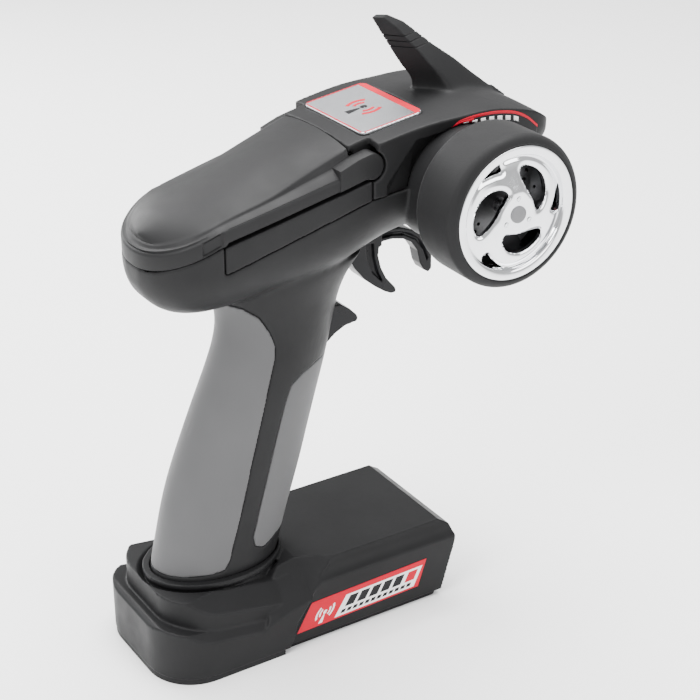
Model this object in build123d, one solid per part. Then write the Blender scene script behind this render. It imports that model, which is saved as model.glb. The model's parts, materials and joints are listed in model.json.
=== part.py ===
from build123d import *
import math
import os

# Hand-held pistol-grip radio transmitter. Millimetres.
# +X is the steering wheel's side, +Y points away from the user, +Z is up.
# The origin lies on the base's flat underside, in the symmetry plane of base, grip and head.

# ---------------------------------------------------------------- driving dimensions
WALL = 2.2                       # moulded housing walls
GAP = 0.3                        # seam gap between neighbouring mouldings

WHEEL_Y, WHEEL_Z = 60.7, 183.4   # steering axis, along X
TYRE_R = 29.6
TYRE_X0, TYRE_X1 = 40.4, 65.0
RIM_R = 26.0
RIM_FACE_X = 64.6
DRUM_R = 24.0                    # housing drum behind the wheel
DRUM_X0, DRUM_X1 = 20.0, 39.4
SHAFT_R = 3.0

HINGE_Y, HINGE_Z = 20.5, 198.3   # lid hinge axis, along X
ARM_R = 5.4                      # rounded ends of the lid's side arms
ARM_X0 = 23.4
LID_FRONT_Y = 14.0

RIM_Z0, RIM_SLOPE = 188.36, 0.2325     # plane of the head's rim, under the lid
REAR_DIP, DIP_Y = 0.21, -42.0          # extra slope of that rim behind the latch
SKIRT_Z0, SKIRT_SLOPE = 179.18, 0.277  # lower edge of the control panel's skirts
SKIRT_Y0, SKIRT_Y1 = -39.65, 21.0
COWL_Z0, COWL_SLOPE = 182.75, 0.107    # seam between front cowl and side housings

TRIGGER_Y, TRIGGER_Z = 36.0, 170.5
TRIGGER_HALF_W = 5.0
BAR_HALF_W = 3.3                 # front bar of the trigger
POT_R, POT_X0, POT_X1 = 5.2, -15.2, -8.4
LEVER_Y, LEVER_Z = 8.5, 127.0
LEVER_HALF_W = 6.0

DECK_T = 2.0                     # control panel plate
DECK_DROP = 0.4                  # plate's top below the rim plane

REAR_HALF_W, REAR_END_Y = 33.0, -73.0  # rear section of the base
FORE_HALF_W, FORE_END_Y = 31.0, 63.0   # battery section of the base
STEP_Y = -21.5
TRAY_T = 2.4
BASE_TOP_Z = 34.5

CELL_R, CELL_L = 7.1, 50.5       # AA cells, laid crosswise
CELL_PITCH = 14.9
CELL_Y0 = 2.0
CELL_Z = 10.6
CONTACT_X = 27.0

# head sections: y, half-width, crown height, shoulder height, underside height
HEAD = [
    (-63.9, 5.0, 173.6, 172.2, 161.5),
    (-62.2, 11.5, 176.4, 174.0, 158.0),
    (-59.0, 17.2, 180.0, 176.4, 153.8),
    (-54.0, 21.8, 183.8, 179.4, 150.6),
    (-47.0, 25.2, 187.2, 182.6, 148.8),
    (-38.0, 26.9, 190.4, 185.8, 148.4),
    (-20.0, 28.0, 196.4, 192.6, 150.0),
    (0.0, 28.9, 202.8, 199.8, 152.0),
    (14.0, 29.4, 206.8, 204.6, 155.5),
    (30.0, 29.8, 209.8, 208.0, 161.6),
    (45.0, 30.0, 212.4, 210.2, 164.4),
    (60.0, 30.0, 213.6, 210.8, 163.8),
    (74.0, 30.0, 213.2, 211.0, 164.0),
    (86.0, 30.0, 210.4, 209.0, 172.0),
    (96.0, 29.4, 207.0, 206.0, 184.0),
    (102.0, 27.5, 203.6, 202.6, 190.0),
    (105.4, 21.0, 200.6, 199.8, 193.0),
]
# grip sections: z, rear y, front y, half-width
GRIP = [
    (30.0, -62.4, -10.4, 18.4),
    (45.0, -60.6, -5.4, 18.2),
    (62.0, -56.8, 0.2, 17.6),
    (80.0, -51.0, 5.8, 17.1),
    (100.0, -42.6, 11.4, 16.9),
    (120.0, -33.6, 16.8, 17.1),
    (134.0, -29.6, 19.8, 17.8),
    (147.0, -31.6, 24.0, 20.0),
    (158.0, -34.0, 33.0, 22.0),
]
# side view outlines (y, z) of the two soft grip panels
REAR_PANEL = [
    (-80, 36.2), (-44.0, 38.0), (-40.2, 38.6), (-37.6, 42.5), (-31.1, 63.0), (-19.2, 105.7),
    (-14.4, 123.6), (-14.0, 129.0), (-15.9, 135.0), (-19.8, 141.8), (-25.5, 146.1),
    (-36.2, 148.6), (-80, 150.0),
]
FRONT_PANEL = [
    (30, 117.5), (5.6, 116.9), (-2.1, 114.7), (-7.6, 111.0), (-9.9, 105.2), (-19.4, 72.9),
    (-26.6, 49.0), (-25.8, 44.6), (-21.7, 42.4), (-14.3, 44.6), (30, 46.0),
]
# left-side screws of the two housing halves: y, z, depth of the head's seat from x = 0
HOUSING_SCREWS = [(-52, 164, 14), (6, 168, 14), (84, 184, 14), (-16.5, 100, 9), (-32, 62, 9)]
BASE_SCREWS = [(-23, -58), (23, -58), (-25, -29), (25, -29)]
KNOBS = {"steering_trim": (-14, -4), "throttle_trim": (0, -4), "dual_rate": (14, -4)}
SLIDERS = {"steering_reverse": (-13, -25), "throttle_reverse": (13, -25), "power": (0, -37)}
BIND_AT = (0, -22)
ANTENNA_R = 0.9                  # flexible whip inside the fin
ANTENNA_PATH = [(0, 73, 197), (0, 71, 206), (0, 62.5, 219), (0, 52.5, 233)]
LEDS = {"power": -6.0, "battery": 6.0}
LED_V = 11.0
KNOB_R, KNOB_H = 5.2, 4.6

nodes = {}


# ---------------------------------------------------------------- helpers
def prism_x(points, x0, x1):
    """Solid of a (y, z) outline between two x planes."""
    face = Plane.YZ * make_face(Polyline(*[(y, z) for y, z in points], close=True))
    return Pos(x0, 0, 0) * extrude(face, x1 - x0)


def coil_x(y, z, radius, wire_r, x0, pitch, turns):
    """Close-wound spring about an axis along X: rings of wire joined by a short bar."""
    half = 0.6 * wire_r
    spring = block(x0 + half, x0 + pitch * turns - half, y - half, y + half,
                   z + radius - half, z + radius + half)
    for k in range(turns + 1):
        spring = spring + Pos(x0 + pitch * k, y, z) * Rot(0, 90, 0) * Torus(radius, wire_r)
    return spring


def rod_x(y, z, r, x0, x1):
    """Round bar along X."""
    return Pos((x0 + x1) / 2, y, z) * Rot(0, 90, 0) * Cylinder(r, x1 - x0)


def rod_z(x, y, r, z0, z1):
    return Pos(x, y, (z0 + z1) / 2) * Cylinder(r, z1 - z0)


def block(x0, x1, y0, y1, z0, z1):
    return Pos((x0 + x1) / 2, (y0 + y1) / 2, (z0 + z1) / 2) * Box(x1 - x0, y1 - y0, z1 - z0)


def head_section(y, half_w, crown, shoulder, under, inset):
    """U-shaped section of the head, as a face across Y."""
    w = half_w - inset
    top, side, low = crown - inset, shoulder - inset, under + inset
    r = min(0.78 * half_w, 0.75 * (shoulder - under)) - inset
    k = r * (1 - math.cos(math.radians(45)))
    edges = [
        Edge.make_line((-w + r, y, low), (w - r, y, low)),
        Edge.make_three_point_arc((w - r, y, low), (w - k, y, low + k), (w, y, low + r)),
        Edge.make_line((w, y, low + r), (w, y, side)),
        Edge.make_three_point_arc((w, y, side), (0, y, top), (-w, y, side)),
        Edge.make_line((-w, y, side), (-w, y, low + r)),
        Edge.make_three_point_arc((-w, y, low + r), (-w + k, y, low + k), (-w + r, y, low)),
    ]
    return Face(Wire(edges))


def head_solid(inset):
    """The head, or its cavity, which leaves the two narrow end stations out."""
    rows = HEAD[1:-1] if inset else HEAD
    return loft([head_section(*row, inset) for row in rows])


def grip_solid(inset):
    sections = []
    for z, rear, front, half_w in GRIP:
        plane = Plane((0, (rear + front) / 2, z), x_dir=(0, 1, 0))
        sections.append(plane * Ellipse((front - rear) / 2 - inset, half_w - inset))
    return loft(sections)


def rim_z(y):
    """Height of the rim, which dips more steeply behind the latch."""
    return RIM_Z0 + RIM_SLOPE * y + REAR_DIP * min(0, y - DIP_Y)


def skirt_z(y):
    return SKIRT_Z0 + SKIRT_SLOPE * y


def cowl_z(y):
    return COWL_Z0 + COWL_SLOPE * y


DECK = Plane(
    origin=(0, 0, RIM_Z0),
    x_dir=(1, 0, 0),
    z_dir=(0, -RIM_SLOPE, 1),
)


def on_deck(u, v, w, shape):
    """Moves a shape to (u, v) on the rim plane, w above it."""
    return DECK.location * Pos(u, v, w) * shape


def lead(points, r):
    """Round lead along straight runs joined by tangent arcs."""
    vectors = [Vector(*p) for p in points]
    radii = []
    for a, b, c in zip(vectors, vectors[1:], vectors[2:]):
        turn = (b - a).get_angle(c - b)
        radii.append(0.45 * min((b - a).length, (c - b).length)
                     / math.tan(math.radians(turn) / 2))
    path = FilletPolyline(*points, radius=radii)
    start = Plane(origin=path @ 0, z_dir=path % 0)
    return sweep(start * Circle(r), path=path)


# ---------------------------------------------------------------- raw volumes
head_out = head_solid(0)
head_in = head_solid(WALL)
grip_out = grip_solid(0)
grip_mid = grip_solid(1.8)
grip_in = grip_solid(1.8 + WALL)
far = 140.0

# ---------------------------------------------------------------- lid
lid_side = prism_x(
    [(-80, rim_z(-80) + GAP), (DIP_Y, rim_z(DIP_Y) + GAP),
     (LID_FRONT_Y - 2.6, rim_z(LID_FRONT_Y - 2.6) + GAP),
     (LID_FRONT_Y - 2.6, 203.0), (LID_FRONT_Y, 206.3), (LID_FRONT_Y, 230), (-80, 230)],
    -far, far)
lid = (head_out - head_in) & lid_side
arm_outline = prism_x(
    [(4, rim_z(4) + GAP), (19, rim_z(19) + GAP), (HINGE_Y, HINGE_Z - ARM_R),
     (HINGE_Y, HINGE_Z + ARM_R), (LID_FRONT_Y, 203.9), (4, 199.5)], -far, far)
arm_outline = arm_outline + rod_x(HINGE_Y, HINGE_Z, ARM_R, -far, far)
arm_zone = head_out & arm_outline
for side in (1, -1):
    lid = lid + (arm_zone & block(*sorted((side * ARM_X0, side * 40)), -80, 60, 150, 230))
PIN_R = 1.5
lid = lid - rod_x(HINGE_Y, HINGE_Z, PIN_R + 0.06, -far, far)
latch_notch = block(24.6, 40, -44.5, -41.5, 170, rim_z(-43) + 2.4)
lid = lid - latch_notch
# the front edge between the arms is cut back so that it swings clear of the cowl
for half_w, clear_r in [(22.9, 9.95), (18.0, 10.35), (12.0, 10.55), (6.0, 10.68)]:
    lid = lid - rod_x(HINGE_Y, HINGE_Z, clear_r, -half_w, half_w)
nodes["lid"] = lid

# ---------------------------------------------------------------- control panel
skirt_zone = prism_x(
    [(SKIRT_Y0 + GAP, skirt_z(SKIRT_Y0) + GAP), (SKIRT_Y1 - GAP, skirt_z(SKIRT_Y1) + GAP),
     (SKIRT_Y1 - GAP, rim_z(SKIRT_Y1) - DECK_DROP), (SKIRT_Y0 + GAP, rim_z(SKIRT_Y0) - DECK_DROP)],
    -far, far)
panel = (head_out - head_in) & skirt_zone
PLATE_Y_REAR = -50.0
plate_zone = prism_x(
    [(PLATE_Y_REAR, RIM_Z0 + RIM_SLOPE * PLATE_Y_REAR - DECK_DROP - DECK_T - 1.5),
     (DIP_Y, rim_z(DIP_Y) - DECK_DROP - DECK_T),
     (SKIRT_Y1 - GAP, rim_z(SKIRT_Y1) - DECK_DROP - DECK_T),
     (SKIRT_Y1 - GAP, rim_z(SKIRT_Y1) - DECK_DROP), (DIP_Y, rim_z(DIP_Y) - DECK_DROP),
     (PLATE_Y_REAR, rim_z(PLATE_Y_REAR) - DECK_DROP)], -far, far)
panel = panel + (head_in & plate_zone)
for u, v in KNOBS.values():
    panel = panel - on_deck(u, v, 0, Cylinder(2.6, 12))
for u, v in SLIDERS.values():
    panel = panel - on_deck(u, v, 0, Box(3.0, 7.4, 12))
panel = panel - on_deck(*BIND_AT, 0, Cylinder(2.3, 12))
for u in LEDS.values():
    panel = panel - on_deck(u, LED_V, 0, Cylinder(1.5, 12))
for u, v in [(-19, -36), (19, -36), (-19, 8), (19, 8)]:
    panel = panel + on_deck(u, v, -5.5, Cylinder(2.0, 9.0))
    panel = panel - on_deck(u, v, -9.6, Cylinder(0.9, 3.0))
nodes["control_panel"] = panel

# ---------------------------------------------------------------- front cowl with its fin
cowl_zone = prism_x(
    [(LID_FRONT_Y + GAP, rim_z(LID_FRONT_Y) - 4), (LID_FRONT_Y + GAP, 240), (120, 240),
     (120, cowl_z(120) + GAP), (SKIRT_Y1, cowl_z(SKIRT_Y1) + GAP)], -far, far)
cowl = (head_out - head_in) & cowl_zone
relief = prism_x([(0, 180), (SKIRT_Y1 + GAP, 180), (SKIRT_Y1 + GAP, HINGE_Z), (23.2, HINGE_Z),
                  (23.2, 240), (0, 240)], 22.9, far)
relief = relief + rod_x(HINGE_Y, HINGE_Z, ARM_R + 0.7, 22.9, far)
cowl = cowl - relief - mirror(relief, Plane.YZ)
# fin: a swept diamond section that leans back over the plate
fin_faces = []
for z, rear, wide_y, front, half_w in [
    (204.0, 60.0, 76.0, 103.0, 13.0), (218.0, 57.0, 66.5, 84.6, 8.6),
    (230.0, 48.6, 56.6, 67.4, 6.6), (241.0, 41.4, 46.6, 53.4, 4.6),
]:
    fin_faces.append(Face(Wire(Polyline((0, rear, z), (half_w, wide_y, z), (0, front, z),
                                        (-half_w, wide_y, z), close=True).edges())))
fin = loft(fin_faces[:2], ruled=True) + loft(fin_faces[1:], ruled=True)
fin = fin + loft([fin_faces[-1], Face(Wire(Polyline(
    (0, 39.0, 244.6), (2.6, 42.4, 244.6), (0, 46.2, 244.6), (-2.6, 42.4, 244.6),
    close=True).edges()))], ruled=True)
cowl = cowl + (fin - head_in)
for side in (1, -1):
    lug = block(*sorted((side * 19.5, side * 22.7)), 16.5, 24.5, 194.8, 215) & head_in
    cowl = cowl + lug
cowl = cowl - rod_x(HINGE_Y, HINGE_Z, PIN_R, -22.8, 22.8)
cowl = cowl - lead(ANTENNA_PATH, ANTENNA_R + 0.3)
cowl = cowl - rod_x(WHEEL_Y, WHEEL_Z, DRUM_R + GAP, DRUM_X0 - 2, 60)
# recess for the badge plate
PLATE_HALF_W, PLATE_Y0, PLATE_Y1 = 21.0, 21.4, 49.2
plate_tilt = math.degrees(math.atan2(212.4 - 208.3, PLATE_Y1 - PLATE_Y0))
PLATE = Plane(origin=(0, (PLATE_Y0 + PLATE_Y1) / 2, 210.2)).rotated((plate_tilt, 0, 0))
plate_len = PLATE_Y1 - PLATE_Y0
cowl = cowl - PLATE.location * Pos(0, 0, -0.9) * extrude(
    RectangleRounded(2 * PLATE_HALF_W + 0.5, plate_len + 0.5, 3.2), 8)
nodes["front_cowl"] = cowl
nodes["badge_plate"] = PLATE.location * Pos(0, 0, -0.9) * extrude(
    RectangleRounded(2 * PLATE_HALF_W, plate_len, 3.0), 1.2)

# ---------------------------------------------------------------- grip panels
rear_zone = prism_x(REAR_PANEL, -far, far)
front_zone = prism_x(FRONT_PANEL, -far, far)
nodes["rear_grip"] = (grip_out - grip_mid) & rear_zone
nodes["front_grip"] = (grip_out - grip_mid) & front_zone

# ---------------------------------------------------------------- side housings
housing_zone = prism_x(
    [(-90, rim_z(-90)), (DIP_Y, rim_z(DIP_Y)), (SKIRT_Y0, rim_z(SKIRT_Y0)),
     (SKIRT_Y0, skirt_z(SKIRT_Y0)),
     (SKIRT_Y1, cowl_z(SKIRT_Y1)), (120, cowl_z(120)),
     (120, 20), (-90, 20)], -far, far)
hull = (head_out + grip_out) & housing_zone
drum = rod_x(WHEEL_Y, WHEEL_Z, DRUM_R, DRUM_X0, DRUM_X1)
hull = hull + drum
soft = (rear_zone + front_zone) & (grip_out - grip_mid)
body = hull - (head_in - drum) - grip_in - soft
body = body - rod_x(WHEEL_Y, WHEEL_Z, DRUM_R - WALL, DRUM_X0 + WALL, DRUM_X1 - WALL)
body = body - rod_x(WHEEL_Y, WHEEL_Z, 6.0, DRUM_X1 - 8, DRUM_X1 + 1)
body = body - rod_x(WHEEL_Y, WHEEL_Z, SHAFT_R + 1.0, DRUM_X0 - 1, DRUM_X1)
# screw bosses, trigger pin boss and pot boss
for y, z, seat in HOUSING_SCREWS:
    body = body + (rod_x(y, z, 4.2, -26, 26) & (head_out + grip_mid) & housing_zone)
body = body - rod_x(TRIGGER_Y, TRIGGER_Z, POT_R, POT_X0, POT_X1)
body = body - rod_x(TRIGGER_Y, TRIGGER_Z, 5.5, 6.9, 13.0)
body = body + (rod_x(TRIGGER_Y, TRIGGER_Z, 4.0, 6.9, 26) & head_out)
body = body + (rod_x(TRIGGER_Y, TRIGGER_Z, 5.0, -26, POT_X0) & head_out)
trigger_slot = prism_x([(13, 147), (30, 145), (70, 150), (70, 172), (24, 172), (15, 160)], -6.4, 6.4)
lever_slot = prism_x([(3, 117.6), (30, 117.6), (30, 137.5), (3, 137.5)], -6.4, 6.4)
body = body - trigger_slot - lever_slot - rod_x(TRIGGER_Y, TRIGGER_Z, PIN_R, -8, 14)
body = body - rod_x(LEVER_Y, LEVER_Z, 1.0, -10.5, 10.5)
for y, z, seat in HOUSING_SCREWS:
    body = body - rod_x(y, z, 2.8, -40, -seat)
    body = body - rod_x(y, z, 1.4, -seat - 1, 0)
    body = body - rod_x(y, z, 1.25, 0, 8)
nodes["left_housing"] = body & block(-60, 0, -100, 130, 0, 260)
nodes["right_housing"] = body & block(0, 60, -100, 130, 0, 260)

# ---------------------------------------------------------------- base
def rounded_plan(half_w, y0, y1, corner_r, z0, z1):
    """Upright block of a rounded rectangle in plan."""
    return Pos(0, (y0 + y1) / 2, z0) * extrude(
        RectangleRounded(2 * half_w, y1 - y0, corner_r), z1 - z0)


def roof(half_w, stations):
    """Block with sloped shoulders; stations are (y, side edge height, shoulder width, rise)."""
    faces = []
    for y, z, dx, dz in stations:
        faces.append(Plane.XZ.offset(-y) * make_face(Polyline(
            (-half_w, -5), (-half_w, z), (dx - half_w, z + dz),
            (half_w - dx, z + dz), (half_w, z), (half_w, -5), close=True)))
    return loft(faces, ruled=True)


def side_scoop(inset):
    """Recess of the two label panels: flat below and hollow under the deck's edge."""
    i = inset
    front = prism_x([(-19.4, -5), (-19.4, 2.8), (-17.2, 6.7), (-15.8, 13.2), (-12.3, 17.8),
                     (-7.9, 23.2), (-4.0, 28.0), (2.0, 32.5), (8.0, 37.0), (80, 37.0), (80, -5)], 0, 60)
    hollow = Pos(36.9, 30, 35.3) * Rot(90, 0, 0) * Cylinder(10.3 + i, 120)
    cut = Pos(0, -i, i) * front & (block(FORE_HALF_W - i, 60, -99, 99, -9, 60) + hollow)
    return cut + mirror(cut, Plane.YZ)


def base_solid(inset, z0):
    """Outer shape of the base, or its cavity: low tier, high tier and battery section."""
    i = inset
    low = rounded_plan(REAR_HALF_W - i, REAR_END_Y + i, 20, 20 - i, z0, 30)
    low = low & block(-99, 99, -99, STEP_Y - i, z0, 30)
    low = low & roof(REAR_HALF_W - i, [(-80, 22.3 - i, 3.4, 3.4), (-21, 13.2 - i, 3.4, 3.4)])
    low = low & prism_x([(-99, z0), (-99, -2), (-80, 14), (-73.4 + i, 22.5 - i), (-69.0, 25.6 - i),
                         (0, 25.6 - i), (0, z0)], -far, far)
    high = rounded_plan(29.6 - i, -67.6 + i, 20, 19 - i, z0, 40)
    high = high & roof(29.6 - i, [(-80, 33.6 - i, 7, 7), (-20, 22.4 - i, 7, 7), (10, 28 - i, 7, 7)])
    high = high & prism_x([(-99, z0), (-99, BASE_TOP_Z - i), (-14, BASE_TOP_Z - i),
                           (-14, 22), (-5, 22), (-5, z0)], -far, far)
    fore = rounded_plan(REAR_HALF_W - i, -60, FORE_END_Y - i, 4 - i / 2, z0, BASE_TOP_Z - i)
    fore = fore & prism_x([(-31.5 + i, z0), (-31.5 + i, 14), (-27.5 + i, 19), (-21 + i, 30 - i),
                           (-15 + i, BASE_TOP_Z - i), (56.5 - i, BASE_TOP_Z - i),
                           (61.7 - i, 31), (FORE_END_Y - i, 26), (56.0 - i, z0)], -far, far)
    shoulders = [(-32, 15.5, 14, 12), (-20, 19.5, 14, 13), (-9, 22.0, 14, 12.5), (-3.5, 25.5, 12, 9),
                 (2, 29.3, 8.5, 5.2), (9, 31.0, 5.5, 3.5), (80, 31.0, 5.5, 3.5)]
    fore = fore & roof(REAR_HALF_W - i, [(y, z - i, dx, dz) for y, z, dx, dz in shoulders])
    fore = fore - side_scoop(i)
    return low + high + fore


def grip_oval(offset):
    """Oval face around the grip's foot."""
    z, rear, front, half_w = GRIP[0]
    return Plane((0, (rear + front) / 2, 0), x_dir=(0, 1, 0)) * Ellipse(
        (front - rear) / 2 + offset, half_w + offset)


def grip_ring(offset, z0, z1):
    """Upright oval prism around the grip's foot."""
    return Pos(0, 0, z0) * extrude(grip_oval(offset), z1 - z0)


base_out = base_solid(0, TRAY_T)
cavity = base_solid(WALL, TRAY_T - 1) - block(-99, 99, -99, -8.6, 21.0, 60)
# shallow funnel round the collar, behind the deck
valley = loft([Plane.XY.offset(z) * grip_oval(offset) for z, offset in [(30.5, 2.2), (36.5, 7.2)]])
valley = valley - block(-99, 99, -15, 60, 20, 60)
shell = base_out - valley + (grip_ring(2.2, 20, 36.0) & block(-99, 99, -99, -4, 0, 60))
shell = shell + (grip_ring(2.2, 20, 36.0) & base_out)
shell = shell + grip_ring(3.4, 33.6, 36.0)
shell = shell - cavity
shell = shell - grip_ring(1.0, 0, 30.2) - grip_solid(-0.35)
for x, y in BASE_SCREWS:
    shell = shell + (rod_z(x, y, 3.4, TRAY_T, 27) & base_solid(0.5, TRAY_T))
    shell = shell - rod_z(x, y, 1.25, 0, 12)
nodes["base_shell"] = shell

# tray: floor, battery box walls, screw holes and the door's rails
DOOR_X, DOOR_Y0, DOOR_Y1 = 25.5, 3.0, 53.6
tray = rounded_plan(REAR_HALF_W - 0.3, REAR_END_Y + 0.3, 20, 19.7, 0, TRAY_T)
tray = tray & block(-99, 99, -99, STEP_Y - 0.3, 0, TRAY_T)
tray = tray + rounded_plan(FORE_HALF_W - 1.4, -60, 54.6, 3, 0, TRAY_T)
cell_rows = [CELL_Y0 + CELL_PITCH * i for i in range(4)]
box_y0, box_y1 = cell_rows[0] - 8.4, cell_rows[3] + 7.6
for side in (1, -1):
    tray = tray + block(*sorted((side * (CONTACT_X + 0.5), side * 28.6)), box_y0, 50, TRAY_T, 18)
tray = tray + block(-28.6, 28.6, box_y0 - 1.6, box_y0, TRAY_T, 18)
tray = tray - block(-DOOR_X - 0.3, DOOR_X + 0.3, DOOR_Y0 - 0.3, 70, -1, 1.2)
tray = tray - block(-DOOR_X + 1.0, DOOR_X - 1.0, DOOR_Y0 + 1.0, DOOR_Y1 - 4, -1, TRAY_T + 1)
for x, y in BASE_SCREWS:
    tray = tray - rod_z(x, y, 1.5, -1, 9) - rod_z(x, y, 2.8, -1, 1.3)
nodes["base_tray"] = tray
door = block(-DOOR_X, DOOR_X, DOOR_Y0, DOOR_Y1, 0.15, 1.0)
for k in range(5):
    door = door - block(-9, 9, 30 + 3 * k, 31.2 + 3 * k, 0, 0.5)
nodes["battery_door"] = door

# ---------------------------------------------------------------- power
nodes["contact_plates"] = Part() + [
    block(*sorted((side * CONTACT_X, side * (CONTACT_X + 0.4))), y0, y1, 4, 17)
    for side, y0, y1 in [(1, cell_rows[0] - 5, cell_rows[0] + 5),
                         (1, cell_rows[1] - 5, cell_rows[2] + 5),
                         (1, cell_rows[3] - 5, cell_rows[3] + 5),
                         (-1, cell_rows[0] - 5, cell_rows[1] + 5),
                         (-1, cell_rows[2] - 5, cell_rows[3] + 5)]]
springs = []
for i, y in enumerate(cell_rows):
    way = 1 if i % 2 == 0 else -1
    tip = way * CONTACT_X
    cell = rod_x(y, CELL_Z, CELL_R, *sorted((tip - way * 1.2, tip - way * CELL_L)))
    cell = cell + rod_x(y, CELL_Z, 2.7, *sorted((tip, tip - way * 1.5)))
    nodes[f"battery_cell_{i + 1}"] = cell
    start = tip - way * CELL_L
    low = min(start - way * 0.4, start - way * 3.1)
    springs.append(coil_x(y, CELL_Z, 3.2, 0.32, low, 0.9, 3))
nodes["battery_springs"] = Part() + springs


LEAD_R = 0.75
for name, x in (("lead_positive", 3.2), ("lead_negative", -3.2)):
    nodes[name] = lead([(x * 2.4, -8.2, 9), (x * 2.4, -13.5, 9.5), (x * 1.8, -22, 14),
                        (x, -32, 24), (x, -39, 40), (x, -42, 60), (x, -37, 80), (x, -28, 100),
                        (x, -18, 120), (x, -13, 138), (x * 1.2, -12.5, 155), (x * 1.4, -12, 173.4)],
                       LEAD_R)

# ---------------------------------------------------------------- electronics under the panel
BOARD_W = -11.6
board = on_deck(0, -18, BOARD_W + 0.8, Box(42, 62, 1.6))
for u, v in [(-19, -36), (19, -36), (-19, 8), (19, 8)]:
    board = board - on_deck(u, v, BOARD_W, Cylinder(0.95, 8))
nodes["main_board"] = board
PCB_TOP = BOARD_W + 1.6
nodes["rf_shield"] = on_deck(0, -42, BOARD_W - 1.2, Box(18, 12, 2.4))
nodes["antenna"] = lead(ANTENNA_PATH, ANTENNA_R)
for name, (u, v) in KNOBS.items():
    pot = on_deck(u, v, (PCB_TOP - DECK_DROP - DECK_T) / 2, Box(9, 9, -PCB_TOP - DECK_DROP - DECK_T))
    nodes[f"{name}_pot"] = pot - on_deck(u, v, -4, Cylinder(2.05, 6))
    knob = on_deck(u, v, 0.2 + KNOB_H / 2, Cylinder(KNOB_R, KNOB_H))
    for k in range(16):
        a = math.radians(k * 22.5)
        knob = knob - on_deck(u + (KNOB_R + 0.2) * math.cos(a), v + (KNOB_R + 0.2) * math.sin(a),
                              0.2 + KNOB_H / 2 + 0.6, Cylinder(0.55, KNOB_H))
    knob = knob - on_deck(u, v + 2.8, KNOB_H + 0.2, Box(0.9, 3.4, 0.8))
    nodes[f"{name}_knob"] = knob + on_deck(u, v, -2.8, Cylinder(2.0, 6.2))
for name, (u, v) in SLIDERS.items():
    case = on_deck(u, v, (PCB_TOP - DECK_DROP - DECK_T) / 2, Box(6, 12, -PCB_TOP - DECK_DROP - DECK_T))
    nodes[f"{name}_switch"] = case - on_deck(u, v, -4, Box(2.6, 6.6, 5.0))
    cap = on_deck(u, v, 0.9, Box(4.2, 3.2, 1.8)) + on_deck(u, v, -2.6, Box(1.8, 2.0, 5.4))
    for k in (-1, 0, 1):
        cap = cap - on_deck(u, v + k, 1.8, Box(4.2, 0.35, 0.5))
    nodes[f"{name}_slider"] = cap
u, v = BIND_AT
nodes["bind_switch"] = on_deck(u, v, PCB_TOP + 1.8, Box(6, 6, 3.6))
nodes["bind_button"] = on_deck(u, v, (PCB_TOP + 4.7 + 1.0) / 2, Cylinder(2.1, 1.0 - PCB_TOP - 4.7))
for name, u in LEDS.items():
    lens = on_deck(u, LED_V, (PCB_TOP + 0.2) / 2, Cylinder(1.45, 0.2 - PCB_TOP))
    nodes[f"{name}_led"] = lens + on_deck(u, LED_V, 0.2, Sphere(1.45))

# ---------------------------------------------------------------- steering
nodes["wheel_bush"] = rod_x(WHEEL_Y, WHEEL_Z, 6.0, DRUM_X1 - WALL - 5, DRUM_X1) - rod_x(
    WHEEL_Y, WHEEL_Z, SHAFT_R + 0.06, 20, 50)
pot_x = DRUM_X0 - 8.5
pot = rod_x(WHEEL_Y, WHEEL_Z, 8.0, pot_x, DRUM_X0)
pot = pot + block(pot_x + 2, pot_x + 5, WHEEL_Y - 11, WHEEL_Y + 11, WHEEL_Z - 3, WHEEL_Z + 3)
nodes["steering_pot"] = pot - rod_x(WHEEL_Y, WHEEL_Z, SHAFT_R + 0.06, pot_x + 1.5, 50)
nodes["steering_spring"] = coil_x(WHEEL_Y, WHEEL_Z, 6.6, 0.6, 23.6, 1.5, 4)
HUB_R = 9.0
HUB_FACE_X = 65.2
nodes["wheel_shaft"] = rod_x(WHEEL_Y, WHEEL_Z, SHAFT_R, pot_x + 2, HUB_FACE_X - 2.4)

def turned(points):
    """Ring turned about the steering axis from (x, radius) points."""
    face = make_face(Polyline(*points, close=True))
    ring = revolve(face, Axis.X, 360)
    return Pos(0, WHEEL_Y, WHEEL_Z) * ring


nodes["tyre"] = turned([(TYRE_X0, 25.6), (TYRE_X0 + 0.4, 27.4), (TYRE_X0 + 3.0, TYRE_R),
                        (TYRE_X1 - 3.4, TYRE_R), (TYRE_X1 - 1.2, 28.7), (TYRE_X1 - 0.2, 27.0),
                        (RIM_FACE_X, RIM_R), (RIM_FACE_X - 2.0, RIM_R), (RIM_FACE_X - 2.0, 25.0),
                        (RIM_FACE_X - 4.0, 24.6), (TYRE_X0 + 3.0, 24.6), (TYRE_X0 + 1.5, 25.6)])
rim = turned([(TYRE_X0 + 3.0, 22.6), (TYRE_X0 + 3.0, 24.6), (RIM_FACE_X - 4.0, 24.6),
              (RIM_FACE_X - 2.0, 25.0), (RIM_FACE_X - 2.0, RIM_R), (RIM_FACE_X, RIM_R),
              (RIM_FACE_X, 22.2), (RIM_FACE_X - 1.6, 21.4), (RIM_FACE_X - 4.4, 21.2),
              (RIM_FACE_X - 6.0, 22.6)])
dish = turned([(RIM_FACE_X - 6.0, 22.9), (RIM_FACE_X - 2.2, 22.9), (RIM_FACE_X - 2.4, 20.6),
               (RIM_FACE_X - 1.2, 14.0), (HUB_FACE_X - 0.2, 8.2), (HUB_FACE_X, 6.8),
               (HUB_FACE_X, SHAFT_R + 2), (HUB_FACE_X - 2.4, SHAFT_R + 2), (HUB_FACE_X - 5.6, 9.0)])
dish = dish + rod_x(WHEEL_Y, WHEEL_Z, 8.0, HUB_FACE_X - 6.5, HUB_FACE_X)


def wheel_point(radius, degrees):
    """Point of the wheel's face, seen from +X with +Y to the right."""
    a = math.radians(degrees)
    return (WHEEL_Y + radius * math.cos(a), WHEEL_Z + radius * math.sin(a))


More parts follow.
